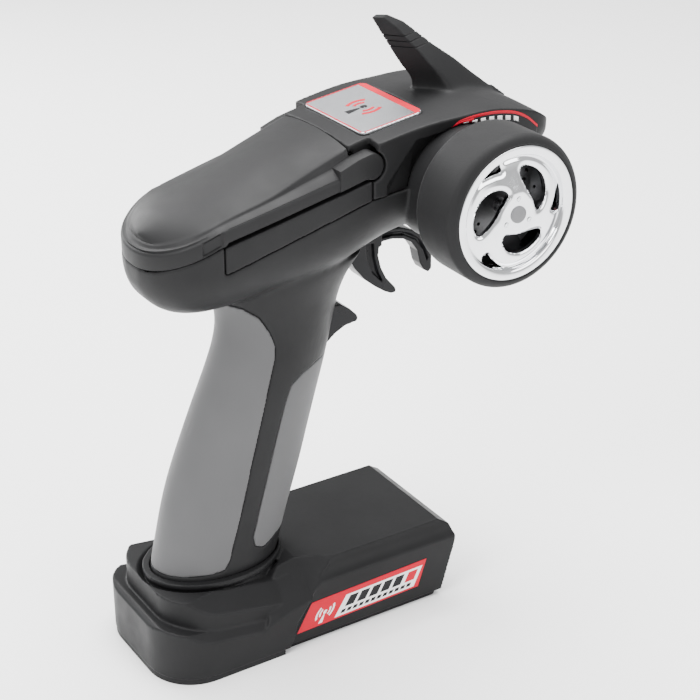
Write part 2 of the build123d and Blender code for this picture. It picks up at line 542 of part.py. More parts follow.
SPOKES = 3
for k in range(SPOKES):
    turn = 120 * k
    outline = [wheel_point(r, d + turn) for r, d in
               [(8.2, 30), (8.2, 5), (10.4, -3), (13.0, 8), (15.4, 23), (17.2, 44),
                (17.6, 68), (16.6, 83), (13.4, 81), (9.8, 66)]]
    window = Plane.YZ * make_face(Spline(*outline, periodic=True))
    dish = dish - Pos(40, 0, 0) * extrude(window, 40)
    slit = [wheel_point(r, d + turn) for r, d in [(18.0, 110), (21.4, 112), (21.4, 140)]]
    dish = dish - prism_x(slit, 50, 80)
    dish = dish - rod_x(*wheel_point(6.0, 90 + turn), 1.1, HUB_FACE_X - 0.8, 70)
rim = rim + dish
rim = rim - rod_x(WHEEL_Y, WHEEL_Z, SHAFT_R, 40, HUB_FACE_X - 2.4)
rim = rim - rod_x(WHEEL_Y, WHEEL_Z, 3.4, HUB_FACE_X - 1.2, 80)
nodes["wheel_rim"] = rim
nodes["wheel_bolts"] = Part() + [rod_x(*wheel_point(6.0, 90 + 120 * k), 1.1, HUB_FACE_X - 0.8,
                                       HUB_FACE_X + 0.5) for k in range(SPOKES)]
nodes["hub_cap"] = turned([(HUB_FACE_X - 1.2, 0), (HUB_FACE_X - 1.2, 3.4), (HUB_FACE_X + 0.3, 3.4),
                           (HUB_FACE_X + 0.9, 2.7), (HUB_FACE_X + 1.3, 1.5), (HUB_FACE_X + 1.5, 0)])
disc = rod_x(WHEEL_Y, WHEEL_Z, 19.6, 52.2, 54.0) - rod_x(WHEEL_Y, WHEEL_Z, SHAFT_R, 40, 70)
for k in range(12):
    for r, d in [(11.0, 0), (13.6, 7), (16.2, 14)]:
        disc = disc - rod_x(*wheel_point(r, d + 30 * k), 0.7, 50, 60)
nodes["brake_disc"] = disc
caliper = turned([(50.4, 12.0), (50.4, 22.4), (56.0, 22.4), (56.0, 12.0)])
caliper = caliper - rod_x(WHEEL_Y, WHEEL_Z, 19.8, 52.0, 54.2)
wedge = prism_x([(WHEEL_Y, WHEEL_Z), wheel_point(60, -120), wheel_point(60, -90),
                 wheel_point(60, -60)], 40, 70)
nodes["brake_caliper"] = caliper & wedge

# ---------------------------------------------------------------- trigger
c_shape = make_face(
    Polyline((26.0, 155.0), (26.6, 151.2), (29.2, 146.6), (33.6, 141.2), (38.6, 137.0), (43.2, 133.8),
             (46.3, 132.3), (48.0, 132.4), (48.6, 133.8), (46.8, 136.0), (43.7, 139.6), (41.2, 144.6),
             (39.8, 150.0), (40.2, 153.6), (43.0, 154.8), (47.6, 154.9), (52.6, 153.8), (56.8, 151.4),
             (59.8, 147.1), (61.2, 141.2), (63.0, 138.0), (65.2, 136.6), (66.7, 138.0), (66.6, 143.4),
             (64.6, 149.0), (61.0, 153.8), (57.0, 156.8), (51.3, 159.0), (44.0, 159.8),
             (40.6, 162.0), (39.5, 170.0), (32.5, 170.0), (30.0, 161.0), (26.6, 158.0), close=True))
c_face = Plane.YZ * c_shape
trigger = Pos(-BAR_HALF_W, 0, 0) * extrude(c_face, 2 * BAR_HALF_W)
hook = Pos(-TRIGGER_HALF_W, 0, 0) * extrude(c_face, 2 * TRIGGER_HALF_W)
trigger = trigger + (hook & prism_x([(20, 120), (52, 120), (46, 142), (41.5, 152), (41.5, 175), (20, 175)],
                                    -far, far))
trigger = trigger + rod_x(TRIGGER_Y, TRIGGER_Z, 4.6, -6.0, 6.0)
trigger = trigger - rod_x(TRIGGER_Y, TRIGGER_Z, PIN_R + 0.06, -20, 20)
pocket = make_face(Polyline((33.6, 156.0), (34.6, 149.6), (37.0, 143.4), (42.6, 137.4),
                            (39.8, 143.4), (38.0, 149.6), (37.6, 156.0), close=True))
for side in (1, -1):
    cut = Pos(side * 3.0 if side > 0 else -3.0 - 9, 0, 0) * extrude(Plane.YZ * pocket, 9)
    trigger = trigger - cut
nodes["trigger"] = trigger
nodes["trigger_pin"] = rod_x(TRIGGER_Y, TRIGGER_Z, PIN_R, -14.0, 14.0)
nodes["throttle_pot"] = rod_x(TRIGGER_Y, TRIGGER_Z, POT_R, POT_X0, POT_X1) - rod_x(
    TRIGGER_Y, TRIGGER_Z, PIN_R, -14.0, 0)
nodes["trigger_spring"] = coil_x(TRIGGER_Y, TRIGGER_Z, 4.8, 0.4, 7.6, 1.15, 4)

# ---------------------------------------------------------------- finger lever
lever_face = make_face(Polyline(
    (LEVER_Y, 131.0), (18.0, 134.2), (22.0, 133.8), (25.9, 131.0), (29.0, 127.8), (29.8, 126.2),
    (28.9, 124.9), (23.5, 124.2), (19.0, 122.0), (14.0, 118.0), (LEVER_Y, 123.0), close=True))
lever = Pos(-LEVER_HALF_W, 0, 0) * extrude(Plane.YZ * lever_face, 2 * LEVER_HALF_W)
lever = lever + rod_x(LEVER_Y, LEVER_Z, 4.0, -LEVER_HALF_W, LEVER_HALF_W)
lever = lever - rod_x(LEVER_Y, LEVER_Z, 1.06, -20, 20)
nodes["finger_lever"] = lever
nodes["lever_pin"] = rod_x(LEVER_Y, LEVER_Z, 1.0, -10.5, 10.5)

# ---------------------------------------------------------------- pins and screws
nodes["lid_hinge_pin"] = rod_x(HINGE_Y, HINGE_Z, PIN_R, -28.0, 28.0)
nodes["housing_screws"] = Part() + [
    rod_x(y, z, 2.6, -seat - 1.8, -seat) + rod_x(y, z, 1.25, -seat, 8)
    for y, z, seat in HOUSING_SCREWS]
nodes["base_screws"] = Part() + [rod_z(x, y, 2.6, 0.2, 1.3) + rod_z(x, y, 1.25, 1.3, 10)
                                 for x, y in BASE_SCREWS]
nodes["board_screws"] = Part() + [
    on_deck(u, v, BOARD_W - 0.7, Cylinder(1.8, 1.4)) + on_deck(u, v, BOARD_W + 1.0, Cylinder(0.9, 4.4))
    for u, v in [(-19, -36), (19, -36), (-19, 8), (19, 8)]]

# ---------------------------------------------------------------- labels
LABEL_T = 0.3
label_face = make_face(Polyline((-16.4, 6.4), (43.8, 8.1), (47.9, 20.6), (-9.1, 19.0), close=True))
nodes["side_label"] = Pos(FORE_HALF_W, 0, 0) * extrude(Plane.YZ * label_face, LABEL_T)
arc_face = make_face(Polyline((57.4, 206.6), (61.2, 209.0), (68.0, 209.0), (78.0, 208.4), (87.3, 206.6),
                              (97.0, 201.0), (97.0, 198.6), (80.0, 203.6), (61.2, 203.9), close=True))
arc_label = (Pos(20, 0, 0) * extrude(Plane.YZ * arc_face, 30))
arc_label = arc_label & (head_solid(-LABEL_T) - head_out)
nodes["shoulder_label"] = arc_label - rod_x(WHEEL_Y, WHEEL_Z, DRUM_R + 0.4, 0, 60)

os.makedirs("parts", exist_ok=True)
for name, shape in nodes.items():
    export_step(shape, f"parts/{name}.step")
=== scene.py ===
import json
import math

import bmesh
import bpy
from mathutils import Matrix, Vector, kdtree

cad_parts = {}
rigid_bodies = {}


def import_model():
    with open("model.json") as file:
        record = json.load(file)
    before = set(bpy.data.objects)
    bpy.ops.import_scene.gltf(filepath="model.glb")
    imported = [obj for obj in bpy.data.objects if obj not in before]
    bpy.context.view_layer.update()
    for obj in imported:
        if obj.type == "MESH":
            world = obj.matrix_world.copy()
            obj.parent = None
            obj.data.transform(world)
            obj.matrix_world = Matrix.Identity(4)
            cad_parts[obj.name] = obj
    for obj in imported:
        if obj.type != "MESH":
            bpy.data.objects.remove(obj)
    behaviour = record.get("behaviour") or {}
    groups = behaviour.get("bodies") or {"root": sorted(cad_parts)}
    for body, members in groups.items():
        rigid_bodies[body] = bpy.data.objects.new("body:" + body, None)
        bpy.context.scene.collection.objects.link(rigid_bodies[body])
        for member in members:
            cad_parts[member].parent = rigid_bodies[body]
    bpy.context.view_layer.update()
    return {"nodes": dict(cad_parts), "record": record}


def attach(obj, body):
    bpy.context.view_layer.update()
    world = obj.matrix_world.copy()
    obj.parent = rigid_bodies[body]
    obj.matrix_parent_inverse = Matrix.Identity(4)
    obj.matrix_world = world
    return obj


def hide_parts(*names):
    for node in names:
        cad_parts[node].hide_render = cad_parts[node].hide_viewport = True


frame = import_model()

MM = 0.001

# ---------------------------------------------------------------- dimensions, in millimetres
WHEEL_Y, WHEEL_Z = 60.7, 183.4
HINGE_Y, HINGE_Z = 20.5, 198.3
RIM_Z, RIM_SLOPE, RIM_TAIL_SLOPE = 188.36, 0.2325, 0.21


# ---------------------------------------------------------------- node materials
def new_material(name):
    mat = bpy.data.materials.new(name)
    mat.use_nodes = True
    nodes, links = mat.node_tree.nodes, mat.node_tree.links
    return mat, nodes, links, nodes["Principled BSDF"]


def coords(nodes, links, scale):
    """Object coordinates in millimetres times scale."""
    tex = nodes.new("ShaderNodeTexCoord")
    mapping = nodes.new("ShaderNodeMapping")
    mapping.inputs["Scale"].default_value = (1000 * scale,) * 3
    links.new(tex.outputs["Object"], mapping.inputs["Vector"])
    return mapping.outputs["Vector"]


def noise(nodes, links, scale, detail=3.0, rough=0.55):
    tex = nodes.new("ShaderNodeTexNoise")
    tex.inputs["Scale"].default_value = 1.0
    tex.inputs["Detail"].default_value = detail
    tex.inputs["Roughness"].default_value = rough
    links.new(coords(nodes, links, scale), tex.inputs["Vector"])
    return tex.outputs["Fac"]


def remap(nodes, links, value, low, high, lo_in=0.3, hi_in=0.7):
    node = nodes.new("ShaderNodeMapRange")
    node.inputs["From Min"].default_value = lo_in
    node.inputs["From Max"].default_value = hi_in
    node.inputs["To Min"].default_value = low
    node.inputs["To Max"].default_value = high
    links.new(value, node.inputs["Value"])
    return node.outputs["Result"]


def ramp(nodes, links, value, stops):
    node = nodes.new("ShaderNodeValToRGB")
    while len(node.color_ramp.elements) < len(stops):
        node.color_ramp.elements.new(0.5)
    for element, (position, colour) in zip(node.color_ramp.elements, stops):
        element.position = position
        element.color = (*colour, 1)
    links.new(value, node.inputs["Fac"])
    return node.outputs["Color"]


def bump(nodes, links, height, strength, distance_mm):
    node = nodes.new("ShaderNodeBump")
    node.inputs["Strength"].default_value = strength
    node.inputs["Distance"].default_value = distance_mm * MM
    links.new(height, node.inputs["Height"])
    return node.outputs["Normal"]


def moulded(name, colour, rough=0.42, grain=1.6, depth=0.05, sheen=0.0, coat=0.0, spread=0.10,
            gloss=0.12):
    """Moulded plastic or rubber: fine spark-eroded grain, slight tone and gloss variation."""
    mat, nodes, links, shader = new_material(name)
    tone = noise(nodes, links, 0.035, 2.0)
    light = tuple(min(1, c * (1 + spread)) for c in colour)
    dark = tuple(c * (1 - spread) for c in colour)
    links.new(ramp(nodes, links, tone, [(0.3, dark), (0.7, light)]), shader.inputs["Base Color"])
    handling = noise(nodes, links, 0.09, 4.0)
    links.new(remap(nodes, links, handling, rough - 0.05, rough + 0.06), shader.inputs["Roughness"])
    links.new(bump(nodes, links, noise(nodes, links, grain, 2.0), 0.35, depth),
              shader.inputs["Normal"])
    shader.inputs["Specular IOR Level"].default_value = gloss
    if sheen:
        shader.inputs["Sheen Weight"].default_value = sheen
        shader.inputs["Sheen Roughness"].default_value = 0.5
    if coat:
        shader.inputs["Coat Weight"].default_value = coat
        shader.inputs["Coat Roughness"].default_value = 0.15
    return mat


def metal(name, colour, rough, streak=None, depth=0.0):
    mat, nodes, links, shader = new_material(name)
    shader.inputs["Metallic"].default_value = 1.0
    tone = noise(nodes, links, 0.2, 3.0)
    dark = tuple(c * 0.93 for c in colour)
    links.new(ramp(nodes, links, tone, [(0.3, dark), (0.7, colour)]), shader.inputs["Base Color"])
    fine = noise(nodes, links, streak or 1.0, 4.0)
    links.new(remap(nodes, links, fine, rough * 0.8, rough * 1.3), shader.inputs["Roughness"])
    if depth:
        links.new(bump(nodes, links, fine, 0.3, depth), shader.inputs["Normal"])
    return mat


PLASTIC = moulded("housing_plastic", (0.012, 0.012, 0.0125), rough=0.48)
LID_PLASTIC = moulded("lid_plastic", (0.014, 0.014, 0.0145), rough=0.46)
BASE_PLASTIC = moulded("base_plastic", (0.010, 0.010, 0.0105), rough=0.45)
GRIP = moulded("grip_rubber", (0.085, 0.085, 0.087), rough=0.55, grain=2.4, depth=0.07,
               sheen=0.1, spread=0.05)
TRIGGER = moulded("trigger_plastic", (0.010, 0.010, 0.011), rough=0.30)
CONTROL = moulded("control_plastic", (0.03, 0.03, 0.031), rough=0.45)
TYRE = moulded("tyre_foam", (0.010, 0.010, 0.0105), rough=0.6, grain=1.9, depth=0.16, sheen=0.04)
HUB = moulded("hub_grey", (0.16, 0.16, 0.165), rough=0.35)
ACETAL = moulded("bush_plastic", (0.62, 0.60, 0.55), rough=0.4)
BOARD = moulded("board_laminate", (0.02, 0.13, 0.06), rough=0.3, coat=0.3)
SLEEVE = moulded("cell_sleeve", (0.09, 0.10, 0.12), rough=0.28, coat=0.4)
LENS_RED = moulded("lens_red", (0.5, 0.02, 0.02), rough=0.15, coat=0.6)
LENS_GREEN = moulded("lens_green", (0.03, 0.3, 0.06), rough=0.15, coat=0.6)
RED_WIRE = moulded("red_insulation", (0.45, 0.02, 0.02), rough=0.35)
BLACK_WIRE = moulded("black_insulation", (0.015, 0.015, 0.015), rough=0.35)
CHROME = metal("rim_chrome", (0.83, 0.84, 0.86), 0.075)
STEEL = metal("ground_steel", (0.55, 0.55, 0.56), 0.28, 3.0, 0.02)
BADGE = metal("badge_silver", (0.5, 0.51, 0.53), 0.33, 2.0, 0.01)
NICKEL = metal("contact_metal", (0.66, 0.65, 0.62), 0.22, 2.0, 0.01)
DISC = metal("disc_dark", (0.07, 0.07, 0.072), 0.35, 1.5, 0.03)

# ---------------------------------------------------------------- finishes of the CAD nodes
SLOT_LOOK = {
    "housing_plastic": PLASTIC, "lid_plastic": LID_PLASTIC, "grip_rubber": GRIP,
    "trigger_plastic": TRIGGER, "control_plastic": CONTROL, "part_plastic": BLACK_WIRE,
    "bush_plastic": ACETAL, "badge_silver": BADGE, "side_graphic": BADGE, "shoulder_graphic": BADGE,
    "tyre_foam": TYRE, "rim_chrome": CHROME, "hub_grey": HUB, "bolt_steel": STEEL,
    "disc_dark": DISC, "caliper_plastic": TRIGGER, "pin_steel": STEEL, "contact_metal": NICKEL,
    "cell_sleeve": SLEEVE, "red_insulation": RED_WIRE, "black_insulation": BLACK_WIRE,
    "board_laminate": BOARD, "lens_red": LENS_RED, "lens_green": LENS_GREEN,
}
node_slot = {row["node"]: row["material_slot"] for row in frame["record"]["subparts"]}
node_body = {node: body for body, members in frame["record"]["behaviour"]["bodies"].items()
             for node in members}
for node, obj in frame["nodes"].items():
    obj.data.materials.clear()
    obj.data.materials.append(SLOT_LOOK[node_slot[node]])

# ---------------------------------------------------------------- mesh helpers
def put_in_scene(name, mesh, material, body, replaced=()):
    """A visible piece that rides on a body and stands in for the replaced nodes."""
    obj = bpy.data.objects.new(name, mesh)
    bpy.context.scene.collection.objects.link(obj)
    mesh.materials.clear()
    mesh.materials.append(material)
    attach(obj, body)
    if replaced:
        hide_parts(*replaced)
    return obj


def mesh_of(name, points, faces):
    """Mesh from points in millimetres."""
    mesh = bpy.data.meshes.new(name)
    mesh.from_pydata([(x * MM, y * MM, z * MM) for x, y, z in points], [], faces)
    bm = bmesh.new()
    bm.from_mesh(mesh)
    bmesh.ops.remove_doubles(bm, verts=bm.verts, dist=2e-6)
    bmesh.ops.recalc_face_normals(bm, faces=bm.faces)
    for face in bm.faces:
        face.smooth = True
    bm.to_mesh(mesh)
    bm.free()
    return mesh


def sharpen(mesh, degrees=32):
    """Keeps the edges sharper than an angle crisp."""
    bm = bmesh.new()
    bm.from_mesh(mesh)
    limit = math.radians(degrees)
    for edge in bm.edges:
        edge.smooth = not (len(edge.link_faces) == 2 and edge.calc_face_angle(0) > limit)
    for face in bm.faces:
        face.smooth = True
    bm.to_mesh(mesh)
    bm.free()


def baked(mesh, modifiers):
    """Mesh that results from a chain of modifiers, each given as (type, settings)."""
    temp = bpy.data.objects.new("work", mesh.copy())
    bpy.context.scene.collection.objects.link(temp)
    for kind, settings in modifiers:
        mod = temp.modifiers.new(kind, kind)
        for key, value in settings.items():
            setattr(mod, key, value)
    graph = bpy.context.evaluated_depsgraph_get()
    result = bpy.data.meshes.new_from_object(temp.evaluated_get(graph))
    bpy.data.objects.remove(temp)
    return result


def moulding(node, voxel, smooth=4, material=None, name=None, also=()):
    """A CAD node as a moulded part: same shape, edges slightly rounded."""
    source = frame["nodes"][node].data.copy()
    if also:
        bm = bmesh.new()
        bm.from_mesh(source)
        for other in also:
            bm.from_mesh(frame["nodes"][other].data)
        bm.to_mesh(source)
        bm.free()
    mesh = baked(source, [
        ("REMESH", {"mode": "VOXEL", "voxel_size": voxel * MM, "use_smooth_shade": True}),
        ("SMOOTH", {"factor": 0.5, "iterations": smooth})])
    return put_in_scene(name or node + "_moulding", mesh, material or SLOT_LOOK[node_slot[node]],
                        node_body[node], (node, *also))


def curve(table, x):
    """Smooth curve through a short table of (x, value)."""
    if x <= table[0][0]:
        return table[0][1]
    if x >= table[-1][0]:
        return table[-1][1]
    k = max(i for i in range(len(table) - 1) if table[i][0] <= x)
    (x0, v0), (x1, v1) = table[k], table[k + 1]
    before = table[k - 1] if k else (2 * x0 - x1, 2 * v0 - v1)
    after = table[k + 2] if k + 2 < len(table) else (2 * x1 - x0, 2 * v1 - v0)
    slope0 = (v1 - before[1]) / (x1 - before[0]) * (x1 - x0)
    slope1 = (after[1] - v0) / (after[0] - x0) * (x1 - x0)
    t = (x - x0) / (x1 - x0)
    return ((2 * t**3 - 3 * t**2 + 1) * v0 + (t**3 - 2 * t**2 + t) * slope0
            + (3 * t**2 - 2 * t**3) * v1 + (t**3 - t**2) * slope1)


def strip_faces(rows, columns, closed=False):
    """Quads of a grid of rows by columns; closed joins the last column to the first."""
    faces = []
    for r in range(rows - 1):
        for c in range(columns if closed else columns - 1):
            d = (c + 1) % columns
            faces.append((r * columns + c, r * columns + d, (r + 1) * columns + d,
                          (r + 1) * columns + c))
    return faces


def prism_faces(n, start=0):
    """Sides and both ends of a prism whose two outlines of n points begin at start."""
    sides = [tuple(start + i for i in face) for face in strip_faces(2, n, closed=True)]
    return sides + [tuple(start + i for i in range(n)),
                    tuple(start + n + i for i in reversed(range(n)))]


# ---------------------------------------------------------------- lid
def rim_z(y):
    """Height of the head's rim under the lid."""
    return RIM_Z + RIM_SLOPE * y + RIM_TAIL_SLOPE * min(0, y + 42)


LID_FRONT = 13.9
HEAD_W = [(-38, 26.9), (-20, 28.0), (0, 28.7), (14, 29.3)]
LID_WALL = [(-64.2, 6.9), (-50, 6.5), (-38, 6.15), (0, 6.05), (14, 6.0)]
FIELD_INSET = [(-64.2, 2.7), (-58, 2.9), (-48, 3.3), (-38, 4.0), (-20, 5.0), (0, 5.8), (14, 6.3)]
FIELD_Z = [(-64.2, 178.4), (-62.4, 179.0), (-59.5, 180.4), (-54, 182.5), (-47, 185.2),
           (-34, 188.8), (-18, 192.9), (-4, 198.0), (10, 203.1), (14, 204.4)]
CROWN_Z = [(-61.8, 179.1), (-59.5, 181.6), (-54, 185.2), (-47, 187.9), (-40, 190.3), (-20, 196.8),
           (0, 203.2), (14, 206.7)]
NOTCH_Y0, NOTCH_Y1, NOTCH_DEPTH = -47.5, -40.5, 0.9
REAR_Y, REAR_HALF_W, REAR_LENGTH, REAR_POWER = -38, 26.9, 26.2, 2 / 2.15
SIDE_STEPS, REAR_STEPS, CROWN_STEPS = 64, 48, 12
LID_THICKNESS = 1.6


def lid_outline():
    """Right-hand half of the lid's plan, from the front edge round to the rear tip."""
    points = [(curve(HEAD_W, y), y) for y in
              [LID_FRONT - (LID_FRONT - REAR_Y) * k / SIDE_STEPS for k in range(SIDE_STEPS)]]
    for k in range(REAR_STEPS + 1):
        a = math.radians(90 * k / REAR_STEPS)
        points.append((REAR_HALF_W * max(0, math.cos(a)) ** REAR_POWER,
                       REAR_Y - REAR_LENGTH * math.sin(a) ** REAR_POWER))
    return points


def lid_mesh():
    """The lid's outer skin: wall, raised edge band, step down to the field, and crowned field."""
    outline = lid_outline()
    count = len(outline)
    rows = []
    for k, (x, y) in enumerate(outline):
        a = outline[max(0, k - 1)]
        b = outline[min(count - 1, k + 1)]
        tangent = Vector((b[0] - a[0], b[1] - a[1])).normalized()
        if k == count - 1:
            tangent = Vector((-1, 0))
        inward = Vector((tangent.y, -tangent.x))
        if inward.x > 0:
            inward = -inward
        if k < SIDE_STEPS:
            inward = Vector((-1, 0))
        low = rim_z(y) + (1.25 if -39 < y < 21 else 0.35)
        wall = rim_z(y) + curve(LID_WALL, y)
        inset = curve(FIELD_INSET, y)
        field = curve(FIELD_Z, y)
        notch = NOTCH_DEPTH if NOTCH_Y0 < y < NOTCH_Y1 else 0.0
        rise = field - wall
        profile = [
            (2.2, low + 5.0), (2.0, low + 0.3), (1.6, low), (0.3, low), (0.05, low + 0.25),
            (notch, low + 0.7), (notch, wall - 1.2), (0.12 + 0.7 * notch, wall - 0.45),
            (0.5, wall - 0.02), (1.0, wall + 0.12 + 0.06 * rise),
            (inset - 2.0, wall + 0.36 * rise), (inset - 1.0, wall + 0.46 * rise),
            (inset - 0.55, wall + 0.56 * rise), (inset - 0.2, wall + 0.78 * rise),
            (inset + 0.1, wall + 0.92 * rise), (inset + 0.7, wall + rise * 1.03)]
        row = []
        for d, z in profile:
            px = x + inward.x * d
            row.append((max(0, px), y + inward.y * d, z))
        edge_x, edge_y, edge_z = row[-1]
        crown = max(curve(CROWN_Z, edge_y), edge_z)
        for j in range(1, CROWN_STEPS + 1):
            t = 1 - j / CROWN_STEPS
            row.append((edge_x * t, edge_y, crown - (crown - edge_z) * t ** 2.2))
        rows.append(row)
    columns = len(rows[0])
    right = [p for row in rows for p in row]
    left = [(-p[0], p[1], p[2]) for p in right]
    faces = strip_faces(count, columns)
    other = [tuple(i + len(right) for i in reversed(f)) for f in faces]
    return mesh_of("lid_shell", right + left, faces + other)


ARM_INNER_X, ARM_OUTER_X, ARM_RADIUS = 23.6, 29.4, 5.3


def arm_mesh(side):
    """The lid's rounded arm that runs forward to the hinge pin."""
    outline = [(7.0, rim_z(7) + 1.25), (13.0, rim_z(13) + 1.25), (18.2, rim_z(18.2) + 1.25)]
    for k in range(17):
        a = math.radians(-75 + 170 * k / 16)
        outline.append((HINGE_Y + ARM_RADIUS * math.cos(a), HINGE_Z + ARM_RADIUS * math.sin(a)))
    outline += [(14.5, 202.2), (10.5, 200.6), (7.0, 199.2)]
    cy = sum(p[0] for p in outline) / len(outline)
    cz = sum(p[1] for p in outline) / len(outline)
    ring = []
    for x, inset in [(ARM_INNER_X, 0.0), (ARM_OUTER_X - 0.5, 0.0), (ARM_OUTER_X - 0.12, 0.2),
                     (ARM_OUTER_X, 0.6)]:
        for y, z in outline:
            d = Vector((cy - y, cz - z)).normalized() * inset
            ring.append((side * x, y + d.x, z + d.y))
    n = len(outline)
    faces = strip_faces(4, n, closed=True)
    faces.append(tuple(range(n)))
    faces.append(tuple(3 * n + i for i in reversed(range(n))))
    return mesh_of("lid_arm", ring, faces)


def shell_and_arms():
    """The lid with its wall thickness and both arms in one mesh."""
    solid = baked(lid_mesh(), [("SOLIDIFY", {"thickness": LID_THICKNESS * MM, "offset": -1.0})])
    bm = bmesh.new()
    bm.from_mesh(solid)
    for side in (1, -1):
        bm.from_mesh(arm_mesh(side))
    mesh = bpy.data.meshes.new("lid_body")
    bm.to_mesh(mesh)
    bm.free()
    sharpen(mesh, 38)
    return mesh


put_in_scene("lid_shell", shell_and_arms(), LID_PLASTIC, "lid_body", ("lid",))

# ---------------------------------------------------------------- moulded housings
def blend_root(obj, weight, iterations):
    """Fairs the surface where weight(x, y, z in mm) is above zero."""
    group = obj.vertex_groups.new(name="blend")
    for vertex in obj.data.vertices:
        w = weight(*(c / MM for c in vertex.co))
        if w > 0.01:
            group.add([vertex.index], min(1.0, w), "REPLACE")
    mod = obj.modifiers.new("blend", "SMOOTH")
    mod.factor = 0.5
    mod.iterations = iterations
    mod.vertex_group = group.name
    graph = bpy.context.evaluated_depsgraph_get()
    mesh = bpy.data.meshes.new_from_object(obj.evaluated_get(graph))
    obj.modifiers.remove(mod)
    obj.vertex_groups.clear()
    obj.data = mesh


def step(a, b, x):
    """Smooth rise from 0 at a to 1 at b."""
    t = min(1.0, max(0.0, (x - a) / (b - a)))
    return t * t * (3 - 2 * t)


def neck_weight(x, y, z):
    """The flare between the grip and the head, away from the rim and the parting line's ends."""
    if z < 132 or z > 172 or y > 44:
        return 0.0
    return step(132, 142, z) * (1 - step(162, 172, z)) * (1 - step(38, 44, y))


def fin_weight(x, y, z):
    """The foot of the fin."""
    if y < 51 or y > 96 or abs(x) > 19 or z < 200:
        return 0.0
    foot = 213.5 - 0.17 * max(0, y - 70)
    return (1 - step(5, 11, abs(z - foot))) * step(51, 55, y) * (1 - step(13, 19, abs(x)))


HOUSING = moulding("left_housing", 0.6, 3, also=("right_housing",), name="side_housings")
blend_root(HOUSING, neck_weight, 40)
COWL = moulding("front_cowl", 0.45, 3, name="cowl_and_fin")
blend_root(COWL, fin_weight, 120)

FIN = [(218.0, 57.0, 66.5, 84.6, 8.6), (230.0, 48.6, 56.6, 67.4, 6.6), (241.0, 41.4, 46.6, 53.4, 4.6),
       (244.6, 39.0, 42.4, 46.2, 2.6)]


def fin_at(z):
    """Rear, widest and front y and half-width of the fin at a height."""
    k = max(i for i in range(len(FIN) - 1) if FIN[i][0] <= max(z, FIN[0][0]))
    low, high = FIN[k], FIN[k + 1]
    t = (z - low[0]) / (high[0] - low[0])
    return [a + (b - a) * t for a, b in zip(low[1:], high[1:])]


def fin_groove(y0, z0, slope, depth, width):
    """Ring that cuts a thin groove round the fin in a plane tilted by slope."""
    corners = []
    for which in range(3):
        z = z0
        for _ in range(12):
            z = z0 + slope * (fin_at(z)[which] - y0)
        corners.append((fin_at(z)[which], z, fin_at(z)[3] if which == 1 else 0.0))
    rear, wide, front = corners
    loop = [(0, rear[0], rear[1]), (wide[2], wide[0], wide[1]), (0, front[0], front[1]),
            (-wide[2], wide[0], wide[1])]
    centre = Vector((0, wide[0], wide[1]))
    normal = Vector((0, -slope, 1)).normalized()
    points = []
    for offset, side in ((-depth, -0.5), (2.5, -0.5), (2.5, 0.5), (-depth, 0.5)):
        for corner in loop:
            arm = Vector(corner) - centre
            points.append(tuple(Vector(corner) + arm.normalized() * offset * 1.5
                                + normal * side * width))
    faces = strip_faces(4, 4, closed=True) + [(12 + i, 12 + (i + 1) % 4, (i + 1) % 4, i)
                                              for i in range(4)]
    return mesh_of("groove", points, faces)


def prism(outline, x0, x1):
    """Prism along X of a (y, z) outline."""
    points = [(x, y, z) for x in (x0, x1) for y, z in outline]
    return mesh_of("prism", points, prism_faces(len(outline)))


moulding("control_panel", 0.5, 2)
moulding("rear_grip", 0.5, 4)
moulding("front_grip", 0.5, 4)
moulding("base_shell", 0.5, 3, material=BASE_PLASTIC)
TRIGGER_COPY = moulding("trigger", 0.35, 3)
moulding("finger_lever", 0.35, 4)
moulding("badge_plate", 0.3, 1)


# ---------------------------------------------------------------- steering wheel
def lathe(profile, segments=160):
    """Rows of points turned about the steering axis; profile is (x, radius)."""
    points = []
    for x, r in profile:
        for k in range(segments):
            a = 2 * math.pi * k / segments
            points.append((x, WHEEL_Y + r * math.cos(a), WHEEL_Z + r * math.sin(a)))
    return points, strip_faces(len(profile), segments, closed=True)


def arc_profile(centre, radius, start, end, count):
    """Arc of profile points; angles in degrees from +x towards +radius."""
    return [(centre[0] + radius * math.cos(math.radians(start + (end - start) * k / count)),
             centre[1] + radius * math.sin(math.radians(start + (end - start) * k / count)))
            for k in range(count + 1)]


tyre_profile = ([(43.4, 24.7), (41.6, 25.5), (40.7, 26.1)] + arc_profile((43.9, 26.2), 3.35, 178, 92, 8)
                + [(47, 29.56), (53, 29.58), (58, 29.56)] + arc_profile((61.0, 25.9), 3.66, 88, 12, 9)
                + [(64.55, 26.15), (64.2, 25.95), (62.6, 25.9), (62.4, 25.0), (60.6, 24.7), (43.4, 24.7)])
put_in_scene("tyre_ring", mesh_of("tyre_ring", *lathe(tyre_profile)), TYRE, "wheel",
             ("tyre",))


def polar(radius, degrees):
    a = math.radians(degrees)
    return radius * math.cos(a), radius * math.sin(a)


def closed_curve(knots, per_span=9):
    """Smooth closed curve through polar knots (radius, degrees)."""
    pts = [polar(*k) for k in knots]
    n = len(pts)
    out = []
    for i in range(n):
        p0, p1, p2, p3 = (pts[(i + j - 1) % n] for j in range(4))
        for k in range(per_span):
            t = k / per_span
            out.append(tuple(0.5 * (2 * b + (c - a) * t + (2 * a - 5 * b + 4 * c - d) * t * t
                                    + (3 * b - a - 3 * c + d) * t ** 3)
                             for a, b, c, d in zip(p0, p1, p2, p3)))
    return out


